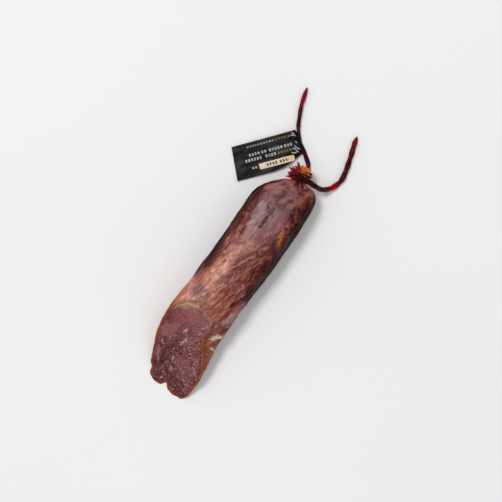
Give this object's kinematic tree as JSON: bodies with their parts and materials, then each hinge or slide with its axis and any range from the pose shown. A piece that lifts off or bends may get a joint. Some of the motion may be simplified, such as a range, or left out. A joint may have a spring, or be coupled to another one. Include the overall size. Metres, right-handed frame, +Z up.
{
  "type": "half cured pork loin",
  "caption": "Half of a cured pork loin in its casing, cut on a slant at one end, tied with a cord at the other, with a plain label threaded on the cord.",
  "frame": {"origin": "on the surface that the loin lies on, under the middle of the tied loin's box, without the cord's free ends and the label", "axes": "+Y along the loin towards its tied end, +X to the right seen from above with the tied end ahead, +Z up"},
  "size_m": [0.1146, 0.3358, 0.0461],
  "materials": {
    "meat": "satin",
    "casing": "glossy",
    "cord": "satin",
    "label": "semi-gloss"
  },
  "bodies": {
    "root": {"loin_meat": "meat", "casing": "casing", "cord_tie": "cord", "cord_end_side": "cord", "cord_end_up": "cord", "label": "label"}
  },
  "joints": []
}
